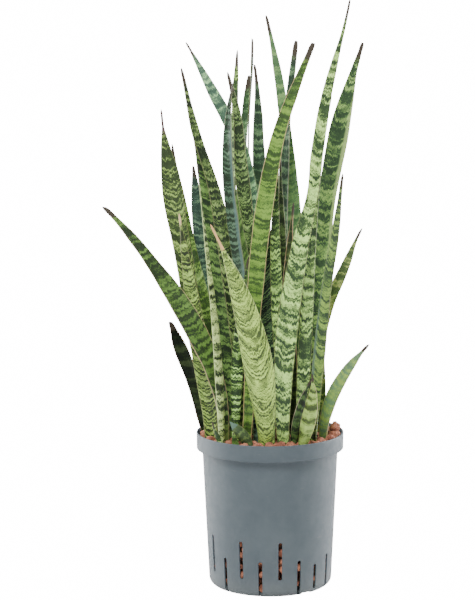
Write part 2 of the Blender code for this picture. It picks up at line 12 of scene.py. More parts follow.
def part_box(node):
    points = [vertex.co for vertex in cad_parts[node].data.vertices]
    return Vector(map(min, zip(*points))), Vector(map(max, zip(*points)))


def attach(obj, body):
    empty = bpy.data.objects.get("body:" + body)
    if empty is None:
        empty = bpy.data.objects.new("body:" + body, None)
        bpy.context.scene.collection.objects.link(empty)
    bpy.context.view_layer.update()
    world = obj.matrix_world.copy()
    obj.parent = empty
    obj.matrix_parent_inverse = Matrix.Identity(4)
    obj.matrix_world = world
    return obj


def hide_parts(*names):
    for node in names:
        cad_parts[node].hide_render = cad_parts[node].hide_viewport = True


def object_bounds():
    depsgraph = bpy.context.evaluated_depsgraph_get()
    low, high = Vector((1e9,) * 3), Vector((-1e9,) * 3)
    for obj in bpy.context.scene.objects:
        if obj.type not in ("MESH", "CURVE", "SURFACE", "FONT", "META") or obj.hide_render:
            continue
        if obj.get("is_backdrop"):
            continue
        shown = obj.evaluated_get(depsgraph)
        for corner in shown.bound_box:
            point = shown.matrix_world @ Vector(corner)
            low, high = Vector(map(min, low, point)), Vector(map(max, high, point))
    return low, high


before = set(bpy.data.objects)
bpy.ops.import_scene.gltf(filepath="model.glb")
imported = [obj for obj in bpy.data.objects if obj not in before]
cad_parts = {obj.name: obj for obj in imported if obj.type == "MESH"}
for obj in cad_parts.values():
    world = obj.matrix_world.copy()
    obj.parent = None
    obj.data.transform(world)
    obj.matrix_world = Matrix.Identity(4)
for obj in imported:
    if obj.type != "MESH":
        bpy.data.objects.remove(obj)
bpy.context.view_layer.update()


# ------------------------------------------------------------------------------
# Grow pot. One thin moulding of matt blue-grey plastic: a stepped rim band that stiffens the mouth, a wall
# that tapers to the foot, and a ring of upright slots, long and short in turn, that let the water in.
# ------------------------------------------------------------------------------

POT_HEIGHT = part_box("grow_pot")[1].z
RIM_RADIUS = 0.090
RIM_BAND = 0.020
RIM_STEP = POT_HEIGHT - RIM_BAND
WALL = 0.0018
WALL_TOP_RADIUS = 0.083
WALL_FOOT_RADIUS = 0.075
POT_FLOOR = 0.0052
INSIDE_ROUND = 0.0072
FOOT_ROUND = 0.009
HOLLOW_OUTER_RADIUS = 0.060
HOLLOW_INNER_RADIUS = 0.035
HOLLOW_DEPTH = 0.003
MIDDLE_PAD_RADIUS = 0.032
TURN_STEPS = 240
LONGEST_RUN = 0.004
POT_SHARP_ANGLE = math.radians(38)

SLOTS = 20
SLOT_WIDTH = 0.0046
SLOT_MIDDLE_RADIUS = 0.0766
SLOT_REACH = 0.009
LONG_SLOT = (0.022, 0.069)
SHORT_SLOT = (-0.004, 0.045)
STUB_SLOT = (0.006, 0.037)
STUB_SLOT_AT = 2
SLOT_END_STEPS = 9
FOOT_GAPS = (38, 158, 278)
FOOT_GAP_SIZE = (0.016, 0.036, 0.006)
FOOT_GAP_RADIUS = 0.063

POT_MIDDLE = (0.045, 0.058, 0.067)
POT_WORN = (0.055, 0.069, 0.077)
POT_DUSTY = (0.13, 0.137, 0.13)


def wall_radius(z):
    """The outside of the tapered wall."""
    return WALL_FOOT_RADIUS + (WALL_TOP_RADIUS - WALL_FOOT_RADIUS) * z / RIM_STEP


def softened(corners, longest=LONGEST_RUN):
    """A profile from corners of radius, height and rounding, each turned into an arc, and with no straight
    run much longer than asked."""
    points = []
    for i, (r, z, fillet) in enumerate(corners):
        here = Vector((r, z))
        if fillet == 0 or i in (0, len(corners) - 1):
            points.append(here)
            continue
        back = (Vector(corners[i - 1][:2]) - here).normalized()
        ahead = (Vector(corners[i + 1][:2]) - here).normalized()
        half = back.angle(ahead) / 2
        inset = fillet / math.tan(half)
        middle = here + (back + ahead).normalized() * fillet / math.sin(half)
        first = here + back * inset - middle
        sweep = first.angle_signed(here + ahead * inset - middle)
        steps = max(3, int(abs(math.degrees(sweep)) / 12))
        for k in range(steps + 1):
            points.append(middle + Matrix.Rotation(-sweep * k / steps, 2) @ first)
    spaced = [points[0]]
    for point in points[1:]:
        gap = (point - spaced[-1]).length
        for k in range(1, int(gap / longest) + 1):
            spaced.append(spaced[-1].lerp(point, 1 / (int(gap / longest) + 2 - k)))
        spaced.append(point)
    return spaced


def new_piece(name, mesh):
    piece = bpy.data.objects.new(name, mesh)
    bpy.context.scene.collection.objects.link(piece)
    mesh.shade_smooth()
    return piece


def set_down(bm, name):
    """Makes a mesh of what has been built."""
    mesh = bpy.data.meshes.new(name)
    bm.to_mesh(mesh)
    bm.free()
    return mesh


def turned_shell(name, profile):
    """A closed profile from axis to axis, turned about the pot's axis."""
    bm = bmesh.new()
    rings = []
    for r, z in profile:
        if r < 1e-6:
            rings.append([bm.verts.new((0.0, 0.0, z))])
            continue
        ring = []
        for k in range(TURN_STEPS):
            turn = 2 * math.pi * k / TURN_STEPS
            ring.append(bm.verts.new((r * math.sin(turn), -r * math.cos(turn), z)))
        rings.append(ring)
    for low, high in zip(rings, rings[1:]):
        for k in range(TURN_STEPS):
            j = (k + 1) % TURN_STEPS
            corners = [low[k % len(low)], low[j % len(low)], high[j % len(high)], high[k % len(high)]]
            bm.faces.new(list(dict.fromkeys(corners)))
    bmesh.ops.recalc_face_normals(bm, faces=bm.faces)
    return set_down(bm, name)


def slot_prism(bm, low, high, turn):
    """A round-ended slot, pushed through the wall at a turn from the front."""
    half = SLOT_WIDTH / 2
    over = np.linspace(0, math.pi, SLOT_END_STEPS)
    under = np.linspace(math.pi, 2 * math.pi, SLOT_END_STEPS)
    outline = [(half * math.cos(a), high - half + half * math.sin(a)) for a in over]
    if low > 0:
        outline += [(half * math.cos(a), low + half + half * math.sin(a)) for a in under]
    else:
        outline += [(-half, low), (half, low)]
    spin = Matrix.Rotation(turn, 3, "Z")
    near, far = SLOT_MIDDLE_RADIUS - SLOT_REACH, SLOT_MIDDLE_RADIUS + SLOT_REACH
    loops = [[bm.verts.new(spin @ Vector((x, -r, z))) for x, z in outline] for r in (near, far)]
    bm.faces.new(loops[0])
    bm.faces.new(loops[1][::-1])
    for k in range(len(outline)):
        j = (k + 1) % len(outline)
        bm.faces.new((loops[0][k], loops[1][k], loops[1][j], loops[0][j]))


def slot_cutter():
    """Every slot in the wall and every gap in the foot, as one solid to cut away."""
    bm = bmesh.new()
    for i in range(SLOTS):
        low, high = LONG_SLOT if i % 2 == 0 else SHORT_SLOT
        if i == STUB_SLOT_AT:
            low, high = STUB_SLOT
        slot_prism(bm, low, high, 2 * math.pi * (i + 0.5) / SLOTS)
    for degrees in FOOT_GAPS:
        size = Matrix.Diagonal((*FOOT_GAP_SIZE, 1.0))
        out = Matrix.Translation((0.0, -FOOT_GAP_RADIUS, 0.0))
        place = Matrix.Rotation(math.radians(degrees), 4, "Z") @ out
        bmesh.ops.create_cube(bm, size=1.0, matrix=place @ size)
    bmesh.ops.recalc_face_normals(bm, faces=bm.faces)
    return new_piece("slot_cutter", set_down(bm, "slot_cutter"))


def cut_from(piece, cutter):
    """Cuts one solid from another for good, and removes the cutter."""
    boolean = piece.modifiers.new("cut", "BOOLEAN")
    boolean.operation = "DIFFERENCE"
    boolean.solver = "MANIFOLD"
    boolean.object = cutter
    graph = bpy.context.evaluated_depsgraph_get()
    mesh = bpy.data.meshes.new_from_object(piece.evaluated_get(graph))
    piece.modifiers.clear()
    piece.data = mesh
    bpy.data.objects.remove(cutter, do_unlink=True)


class Finish:
    """A material that is put together node by node. Each call gives the output that the next one takes."""

    def __init__(self, name):
        self.material = bpy.data.materials.new(name)
        self.material.use_nodes = True
        self.tree = self.material.node_tree
        self.shader = self.tree.nodes["Principled BSDF"]

    def put(self, socket, value):
        if isinstance(value, bpy.types.NodeSocket):
            self.tree.links.new(value, socket)
        elif isinstance(value, tuple) and len(value) == 3 and socket.type == "RGBA":
            socket.default_value = (*value, 1.0)
        else:
            socket.default_value = value

    def node(self, kind, output, **inputs):
        made = self.tree.nodes.new(kind)
        for key, value in inputs.items():
            self.put(made.inputs[key], value)
        return made.outputs[output]

    def place(self):
        return self.node("ShaderNodeTexCoord", "Object")

    def stretched(self, vector, scale):
        return self.node("ShaderNodeMapping", "Vector", Vector=vector, Scale=scale)

    def grain(self, vector, scale, detail=2.0, roughness=0.5, distortion=0.0):
        """Noise from 0 to 1."""
        inputs = {"Vector": vector, "Scale": scale, "Detail": detail, "Roughness": roughness}
        return self.node("ShaderNodeTexNoise", "Fac", **inputs, Distortion=distortion)

    def cells(self, vector, scale):
        """How far each place is from the middle of its cell."""
        return self.node("ShaderNodeTexVoronoi", "Distance", Vector=vector, Scale=scale)

    def sum(self, operation, *values):
        made = self.tree.nodes.new("ShaderNodeMath")
        made.operation = operation
        for socket, value in zip(made.inputs, values):
            self.put(socket, value)
        return made.outputs["Value"]

    def ramp(self, value, low, high, to_low=0.0, to_high=1.0):
        """Rises smoothly from to_low to to_high while the value goes from low to high."""
        made = self.tree.nodes.new("ShaderNodeMapRange")
        made.interpolation_type = "SMOOTHSTEP"
        for socket, number in zip(made.inputs, (value, low, high, to_low, to_high)):
            self.put(socket, number)
        return made.outputs["Result"]

    def blend(self, share, first, second):
        """The first colour where share is 0, the second where it is 1."""
        made = self.tree.nodes.new("ShaderNodeMix")
        made.data_type = "RGBA"
        for socket, value in zip((made.inputs[0], made.inputs[6], made.inputs[7]), (share, first, second)):
            self.put(socket, value)
        return made.outputs[2]

    def split(self, vector):
        made = self.tree.nodes.new("ShaderNodeSeparateXYZ")
        self.put(made.inputs[0], vector)
        return made.outputs[0], made.outputs[1], made.outputs[2]

    def join(self, x, y, z):
        made = self.tree.nodes.new("ShaderNodeCombineXYZ")
        for socket, value in zip(made.inputs, (x, y, z)):
            self.put(socket, value)
        return made.outputs[0]

    def relief(self, height, depth, strength=1.0):
        made = self.tree.nodes.new("ShaderNodeBump")
        made.inputs["Strength"].default_value = strength
        made.inputs["Distance"].default_value = depth
        self.put(made.inputs["Height"], height)
        self.put(self.shader.inputs["Normal"], made.outputs["Normal"])

    def colour(self, value):
        self.put(self.shader.inputs["Base Color"], value)

    def roughness(self, value):
        self.put(self.shader.inputs["Roughness"], value)

    def gloss(self, value):
        self.shader.inputs["Specular IOR Level"].default_value = value


def pot_plastic():
    """Matt plastic, with cloudy wear, upright flow marks, scuffs round it and dust at the foot."""
    finish = Finish("pot_plastic")
    place = finish.place()
    cloud = finish.grain(place, 22.0, 4.0, 0.6)
    body = finish.blend(finish.ramp(cloud, 0.35, 0.7), POT_MIDDLE, POT_WORN)
    flow = finish.grain(finish.stretched(place, (90.0, 90.0, 4.0)), 1.0, 3.0, 0.6)
    body = finish.blend(finish.ramp(flow, 0.45, 0.8, 0.0, 0.35), body, POT_WORN)
    scuffs = finish.grain(finish.stretched(place, (60.0, 60.0, 240.0)), 1.0, 6.0, 0.75, 0.6)
    body = finish.blend(finish.ramp(scuffs, 0.62, 0.74, 0.0, 0.35), body, POT_DUSTY)
    _, _, height = finish.split(place)
    low_dust = finish.sum("MULTIPLY", finish.ramp(height, 0.035, 0.0), finish.grain(place, 60.0, 5.0, 0.7))
    body = finish.blend(finish.sum("MULTIPLY", low_dust, 0.55), body, POT_DUSTY)
    finish.colour(body)
    finish.roughness(finish.ramp(finish.grain(place, 120.0, 4.0, 0.6), 0.2, 0.8, 0.52, 0.68))
    fine = finish.grain(place, 2600.0, 2.0, 0.6)
    finish.relief(finish.sum("ADD", fine, finish.sum("MULTIPLY", flow, 2.0)), 0.00006, 0.6)
    finish.gloss(0.25)
    return finish.material


# Inside first, from the middle of the floor up to the rim, then down the outside and in under the foot.
pot_profile = softened(
    [
        (0.0, POT_FLOOR, 0.0),
        (wall_radius(POT_FLOOR) - WALL, POT_FLOOR, INSIDE_ROUND),
        (WALL_TOP_RADIUS - WALL, RIM_STEP + WALL, 0.0006),
        (RIM_RADIUS - WALL, RIM_STEP + WALL, 0.0007),
        (RIM_RADIUS - WALL, POT_HEIGHT, 0.0007),
        (RIM_RADIUS, POT_HEIGHT, 0.0009),
        (RIM_RADIUS - 0.0002, RIM_STEP, 0.0007),
        (WALL_TOP_RADIUS, RIM_STEP, 0.0011),
        (WALL_FOOT_RADIUS, 0.0, FOOT_ROUND),
        (HOLLOW_OUTER_RADIUS, 0.0, 0.0008),
        (HOLLOW_OUTER_RADIUS, HOLLOW_DEPTH, 0.0008),
        (HOLLOW_INNER_RADIUS, HOLLOW_DEPTH, 0.0008),
        (MIDDLE_PAD_RADIUS, 0.0, 0.0008),
        (0.0, 0.0, 0.0),
    ]
)
pot = new_piece("pot", turned_shell("pot", pot_profile))
cut_from(pot, slot_cutter())
pot.data.shade_smooth()
pot.data.set_sharp_from_angle(angle=POT_SHARP_ANGLE)
pot.data.materials.clear()
pot.data.materials.append(pot_plastic())
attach(pot, "root")
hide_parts("grow_pot")


# ------------------------------------------------------------------------------
# Granules. Crushed fired clay, tipped loose into the pot: rough lumps about 8 to 15 mm across, full of small
# pores, heaped between the leaf bases and pressed against the wall, where they show through the slots.
# ------------------------------------------------------------------------------

BED_LEVEL = 0.184
BED_RADIUS = 0.0875
TOP_LEVEL = BED_LEVEL - 0.001
UNDER_LEVEL = BED_LEVEL - 0.0085
LUMP_KINDS = 14
LUMP_FACES = 12
CLAY_LIGHT = (0.50, 0.205, 0.122)
CLAY_MIDDLE = (0.24, 0.085, 0.052)
# The colour of the painted shade inside the open pores.
CLAY_PORE_SHADE = (0.030, 0.010, 0.008)

WALL_LUMP_TRIES = 4200
WALL_LUMP_SIZES = (0.0085, 0.0135)
WALL_LUMPS_LOW = POT_FLOOR + 0.004
WALL_LUMPS_TOP = 0.078
WALL_LUMP_INSET = 0.44
WALL_LUMP_SPACING = 0.46
ROUNDED_FOOT_TOP = 0.012
ROUNDED_FOOT_INSET = 0.0035

CORE_LOW = 0.012
CORE_HIGH = 0.1735
CORE_ROUGHNESS = 0.0012

UPPER_LUMP_KIND = 5
UPPER_LUMP_SIZE = 0.0135
UPPER_LUMP_TURN = (0.4, 0.2, 1.0)
UPPER_LUMP_LIFT = np.array((0.0005, 0.001, 0.0075))
LOWER_LUMP_DROP = np.array((0.0, 0.0, 0.003))

dice = np.random.default_rng(11)


def crushed_lump(seed, fineness):
    """One lump of unit size: a ball broken by flat faces, with dents and pores."""
    bm = bmesh.new()
    bmesh.ops.create_icosphere(bm, subdivisions=fineness, radius=0.5)
    roll = np.random.default_rng(seed)
    breaks = roll.normal(size=(LUMP_FACES, 3))
    breaks /= np.linalg.norm(breaks, axis=1)[:, None]
    depths = roll.uniform(0.34, 0.46, size=LUMP_FACES)
    shift = Vector(roll.uniform(-50, 50, size=3))
    points = []
    for vert in bm.verts:
        away = vert.co.normalized()
        reach = 0.5 * (1 + 0.22 * noise.noise(away * 1.5 + shift))
        for direction, depth in zip(breaks, depths):
            lean = away.dot(Vector(direction))
            if lean > 0.2:
                reach = min(reach, depth / lean)
        reach += 0.045 * noise.noise(away * 4.0 + shift) + 0.030 * noise.noise(away * 9.0 + shift)
        pore = noise.noise(away * 6.5 - shift)
        reach -= 0.30 * max(0.0, pore - 0.18)
        points.append(away * reach)
    faces = [[v.index for v in face.verts] for face in bm.faces]
    bm.free()
    return np.array(points), np.array(faces)


def heap(name, kinds, places):
    """Many lumps in one mesh. Each place is a middle, a size and a random turn."""
    points, faces, count = [], [], 0
    for kind, middle, size, turn in places:
        shape, skin = kinds[kind]
        spin = np.array(Euler(turn).to_matrix())
        points.append((shape * size) @ spin.T + middle)
        faces.append(skin + count)
        count += len(shape)
    mesh = bpy.data.meshes.new(name)
    mesh.from_pydata(np.concatenate(points).tolist(), [], np.concatenate(faces).tolist())
    mesh.update()
    return new_piece(name, mesh)


def clay():
    """Fired clay in light and darker patches, dull and gritty, with open pores that are dented in and painted
    nearly black, a painted shade inside each pore.
    """
    finish = Finish("clay")
    place = finish.place()
    patch = finish.grain(place, 95.0, 3.0, 0.6)
    body = finish.blend(finish.ramp(patch, 0.36, 0.66), CLAY_MIDDLE, CLAY_LIGHT)
    speck = finish.grain(place, 900.0, 3.0, 0.7)
    body = finish.blend(finish.ramp(speck, 0.52, 0.66, 0.0, 0.55), body, CLAY_MIDDLE)
    warp = finish.node("ShaderNodeTexNoise", "Color", Vector=place, Scale=220.0)
    pores = finish.cells(finish.blend(0.12, place, warp), 380.0)
    # Painted shade: each open pore is painted nearly black for the shade that falls inside it, and the same
    # mask dents it in.
    pore_dent_and_shade = finish.ramp(pores, 0.36, 0.18)
    body = finish.blend(finish.sum("MULTIPLY", pore_dent_and_shade, 0.9), body, CLAY_PORE_SHADE)
    finish.colour(body)
    finish.roughness(0.93)
    grit = finish.grain(place, 700.0, 4.0, 0.75)
    finish.relief(finish.sum("SUBTRACT", grit, finish.sum("MULTIPLY", pore_dent_and_shade, 0.7)), 0.0014)
    finish.gloss(0.25)
    return finish.material


leaf_nodes = {n: o for n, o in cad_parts.items() if n.startswith(("leaf_", "shoot_"))}


def leaf_solids():
    """A search tree over the leaves of the frame, so that no lump lies in one of them."""
    points, faces = [], []
    for node in leaf_nodes.values():
        start = len(points)
        points += [v.co.copy() for v in node.data.vertices]
        faces += [[start + i for i in p.vertices] for p in node.data.polygons]
    return BVHTree.FromPolygons(points, faces)


fine_kinds = [crushed_lump(seed, 4) for seed in range(LUMP_KINDS)]
plain_kinds = [crushed_lump(seed, 3) for seed in range(LUMP_KINDS)]
coarse_kinds = [crushed_lump(seed, 2) for seed in range(LUMP_KINDS)]
stems = leaf_solids()
clay_finish = clay()


def random_turn():
    return tuple(dice.uniform(0, 2 * math.pi, size=3))


def tipped_lumps(tries, level, spread, sizes, spacing, clear, taken):
    """Drops lumps at random on the bed, and leaves out those that would lie in a leaf, the wall or each
    other. spacing is the least way between two middles, as a share of both sizes together, and clear the
    least way from a middle to a leaf, as a share of the lump's size."""
    found = []
    for _ in range(tries):
        size = dice.uniform(*sizes)
        r = BED_RADIUS * math.sqrt(dice.uniform())
        turn = dice.uniform(0, 2 * math.pi)
        middle = np.array((r * math.cos(turn), r * math.sin(turn), level + dice.uniform(-spread, spread)))
        kind, spin = int(dice.integers(LUMP_KINDS)), random_turn()
        limit = wall_radius(middle[2]) - WALL
        if middle[2] > RIM_STEP + WALL + size / 2:
            limit = RIM_RADIUS - WALL
        if r + size * 0.5 > limit:
            continue
        if any(np.linalg.norm(middle - m) < spacing * (size + s) for _, m, s, _ in taken + found):
            continue
        _, _, _, gap = stems.find_nearest(Vector(middle))
        if gap < clear * size:
            continue
        found.append((kind, middle, size, spin))
    return found


named_lumps = {n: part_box(n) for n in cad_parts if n.startswith("granule_") and n != "granule_bed"}
taken = [(0, np.array((low + high) / 2), (high - low).x * 0.95, None) for low, high in named_lumps.values()]
top_lumps = tipped_lumps(2600, TOP_LEVEL, 0.003, (0.009, 0.0145), 0.42, 0.46, taken)
small_lumps = tipped_lumps(900, TOP_LEVEL, 0.003, (0.004, 0.007), 0.42, 0.46, taken + top_lumps)
under_lumps = tipped_lumps(2600, UNDER_LEVEL, 0.002, (0.009, 0.013), 0.40, 0.30, [])
top_piece = heap("granules_top", plain_kinds, top_lumps + small_lumps)
under_piece = heap("granules_under", coarse_kinds, under_lumps)

wall_lumps = []
for _ in range(WALL_LUMP_TRIES):
    z = dice.uniform(WALL_LUMPS_LOW, WALL_LUMPS_TOP)
    size = dice.uniform(*WALL_LUMP_SIZES)
    turn = dice.uniform(0, 2 * math.pi)
    r = wall_radius(z) - WALL - size * WALL_LUMP_INSET - dice.uniform(0.0, 0.0008)
    if z < ROUNDED_FOOT_TOP:
        r -= ROUNDED_FOOT_INSET
    middle = np.array((r * math.sin(turn), -r * math.cos(turn), z))
    kind, spin = int(dice.integers(LUMP_KINDS)), random_turn()
    if all(np.linalg.norm(middle - m) > WALL_LUMP_SPACING * (size + s) for _, m, s, _ in wall_lumps):
        wall_lumps.append((kind, middle, size, spin))
wall_piece = heap("granules_at_wall", coarse_kinds, wall_lumps)

# The middle of the bed, out of sight. It stands back behind the slots, where the lumps at the wall
# show, comes close to the wall above them, and ends under the loose lumps.
core_profile = softened(
    [
        (0.0, CORE_LOW, 0.0),
        (0.062, CORE_LOW, 0.004),
        (wall_radius(0.08) - 0.012, 0.08, 0.0),
        (wall_radius(0.088) - 0.004, 0.088, 0.0),
        (0.0785, 0.166, 0.004),
        (0.074, CORE_HIGH, 0.003),
        (0.0, CORE_HIGH, 0.0),
    ]
)
core = new_piece("granules_core", turned_shell("granules_core", core_profile))
for vert in core.data.vertices:
    vert.co += vert.co.normalized() * CORE_ROUGHNESS * noise.noise(vert.co * 140.0)

for piece in (top_piece, under_piece, wall_piece, core):
    piece.data.materials.append(clay_finish)
    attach(piece, "root")
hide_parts("granule_bed")

# Five lumps stand proud of the others at the rim. The highest is drawn as two, one sitting on the other,
# though the part it stands for is a single lump.
for seed, (name, (low, high)) in enumerate(sorted(named_lumps.items())):
    shape, skin = fine_kinds[(seed * 3 + 1) % LUMP_KINDS]
    middle, span = np.array((low + high) / 2), np.array(high - low)
    places = [(0, middle, 1.0, (0.0, 0.0, 0.0))]
    fitted = (shape - (shape.max(0) + shape.min(0)) / 2) / (shape.max(0) - shape.min(0)) * span
    kinds = [(fitted, skin)]
    if name == "granule_right_high":
        kinds.append(fine_kinds[UPPER_LUMP_KIND])
        places = [
            (0, middle - LOWER_LUMP_DROP, 1.0, (0.0, 0.0, 0.0)),
            (1, middle + UPPER_LUMP_LIFT, UPPER_LUMP_SIZE, UPPER_LUMP_TURN),
        ]
    lump = heap(name.replace("granule", "lump"), kinds, places)
    lump.data.materials.append(clay_finish)
    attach(lump, "root")
    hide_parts(name)


# ------------------------------------------------------------------------------
# Rhizomes and roots. Thick yellow-brown underground stems that the leaves grow from, and the roots under
# them. They lie in the granules, out of sight, and keep the shapes that the part gives them.
# ------------------------------------------------------------------------------

RHIZOME_PALE = (0.62, 0.42, 0.22)
RHIZOME_BROWN = (0.36, 0.20, 0.09)
ROOT_PALE = (0.70, 0.56, 0.38)
ROOT_BROWN = (0.45, 0.30, 0.17)


def ringed_bark(name, pale, brown):
    """Dull skin, ringed across."""
    finish = Finish(name)
    place = finish.place()
    rings = finish.grain(finish.stretched(place, (320.0, 60.0, 60.0)), 1.0, 3.0, 0.6)
    finish.colour(finish.blend(finish.ramp(rings, 0.4, 0.62), pale, brown))
    finish.roughness(finish.ramp(finish.grain(place, 300.0), 0.2, 0.8, 0.6, 0.8))
    finish.relief(rings, 0.0005)
    return finish.material


rhizome_bark = ringed_bark("rhizome_bark", RHIZOME_PALE, RHIZOME_BROWN)
root_bark = ringed_bark("root_bark", ROOT_PALE, ROOT_BROWN)
for name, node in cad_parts.items():
    if name.startswith(("rhizome_", "root_")):
        node.data.materials.clear()
        node.data.materials.append(rhizome_bark if name.startswith("rhizome_") else root_bark)
        name.split("_")[0]


# ------------------------------------------------------------------------------
# Leaves with pale ground. Each sword leaf is one stiff fleshy blade, hollow on its inner face and round on
# its back, that stands on a rhizome and ends in a hard thread tip. These are whitish green with dark,
# jagged cross bands.
# ------------------------------------------------------------------------------

MM = 0.001
RING = 8
HALF_RING = RING // 2
STATIONS = (-1.0, -0.4, 0.4, 1.0)
ACROSS_STEPS = 22
ALONG_STEP = 0.0036
FULLNESS = 1.06
LEAST_HALF_WIDTH = 0.0012
POINT_FADE = 0.006
AWL_STEPS = 9
AWL_ROUND = 0.55
RIPPLE = 0.00035
FULL_RIPPLE_WIDTH = 0.008
MARGIN_RIDGE = 0.00035
OUT_ON_THE_RIDGE = -0.0003


def rings_of(node):
    """The rings of a leaf in the frame, from the foot up, and its tip. It counts outward from each high
    corner in turn until one has nothing but full rings below it, which makes it the tip. The faces' diagonals
    run either way round, so both ways of lining the rings up are tried, and the shorter one is kept."""
    spots, corners, where = [], {}, []
    for vert in node.data.vertices:
        key = tuple(round(c * 1e5) for c in vert.co)
        if key not in corners:
            corners[key] = len(spots)
            spots.append(np.array(vert.co))
        where.append(corners[key])
    near = [set() for _ in spots]
    for face in node.data.polygons:
        ids = [where[i] for i in face.vertices]
        for a in ids:
            near[a].update(b for b in ids if b != a)

    def layers(start):
        seen, found = {start}, [[start]]
        while True:
            ahead = sorted({b for a in found[-1] for b in near[a]} - seen)
            if not ahead:
                return found
            seen.update(ahead)
            found.append(ahead)

    by_height = sorted(range(len(spots)), key=lambda i: -spots[i][2])
    for tip in by_height:
        found = layers(tip)
        if all(len(layer) == RING for layer in found[1:]):
            break
    ring = [found[1][0]]
    while len(ring) < RING:
        ring.append(min((b for b in near[ring[-1]] if b in found[1] and b not in ring)))
    tries = []
    for late in (False, True):
        rings = [ring]
        for layer in found[2:]:
            ordered = [None] * RING
            for low in layer:
                i, j = [k for k in range(RING) if rings[-1][k] in near[low]]
                ordered[(i if j == i + 1 else j) if not late else (j if j == i + 1 else i)] = low
            rings.append(ordered)
        pairs = [pair for below, above in zip(rings, rings[1:]) for pair in zip(below, above)]
        tries.append((sum(np.linalg.norm(spots[a] - spots[b]) for a, b in pairs), rings))
    rings = min(tries, key=lambda found: found[0])[1]
    rings = [np.array([spots[i] for i in ring]) for ring in rings[::-1]]
    return facing(rings), spots[tip]


def facing(rings):
    """Turns every ring's order so that it starts at one margin and runs over the hollow side first."""
    middle = rings[len(rings) // 2]
    sides = [np.linalg.norm(middle[i] - middle[(i + 1) % RING]) for i in range(RING)]
    start = min(range(HALF_RING), key=lambda i: sides[i] + sides[(i + HALF_RING) % RING])
    best = None
    for first in ((start + 1) % RING, (start + HALF_RING + 1) % RING):
        for way in (1, -1):
            begin = first if way == 1 else (first - 1) % RING
            order = [(begin + way * k) % RING for k in range(RING)]
            ring = middle[order]
            left, right = (ring[0] + ring[7]) / 2, (ring[3] + ring[4]) / 2
            chord = (left + right) / 2
            hollow, back = (ring[1] + ring[2]) / 2 - chord, (ring[5] + ring[6]) / 2 - chord
            if np.linalg.norm(back) < np.linalg.norm(hollow):
                continue
            along = rings[-1].mean(0) - rings[0].mean(0)
            if np.dot(np.cross(along, hollow - back), right - left) > 0:
                best = order
    return [ring[best] for ring in rings]


def eased_run(knots, values, at):
    """A smooth curve through values at uneven knots, read off at the places asked for."""
    knots = np.asarray(knots)
    slopes = np.zeros_like(values)
    gaps = np.diff(knots)
    steps = np.diff(values, axis=0) / gaps.reshape(-1, *([1] * (values.ndim - 1)))
    slopes[0], slopes[-1] = steps[0], steps[-1]
    for i in range(1, len(knots) - 1):
        slopes[i] = (steps[i] * gaps[i - 1] + steps[i - 1] * gaps[i]) / (gaps[i] + gaps[i - 1])
    out = []
    for x in at:
        i = min(max(int(np.searchsorted(knots, x)) - 1, 0), len(gaps) - 1)
        t = (x - knots[i]) / gaps[i]
        a, b = values[i], values[i + 1]
        m, n = slopes[i] * gaps[i], slopes[i + 1] * gaps[i]
        start = (2 * t**3 - 3 * t**2 + 1) * a + (t**3 - 2 * t**2 + t) * m
        out.append(start + (3 * t**2 - 2 * t**3) * b + (t**3 - t**2) * n)
    return np.array(out)


def across_weights(u):
    """How much of each of a ring's four stations a place across the blade takes."""
    weights = []
    for i, a in enumerate(STATIONS):
        w = 1.0
        for j, b in enumerate(STATIONS):
            if i != j:
                w *= (u - b) / (a - b)
        weights.append(w)
    return np.array(weights)


def bent(bends, height):
    """How far bends move a leaf's left and right edges at a height. A bend is the height of its middle, how
    far it reaches up and down, and what it does to each edge, all in millimetres."""
    to_left = to_right = 0.0
    for middle, reach, left, right in bends:
        swell = math.cos(min(abs(height - middle) / reach, 1.0) * math.pi / 2) ** 2
        to_left += left * swell
        to_right += right * swell
    return to_left, to_right


def outward(end, before):
    """The direction in which a row of points runs out at one end."""
    return (end - before) / max(np.linalg.norm(end - before), 1e-9)


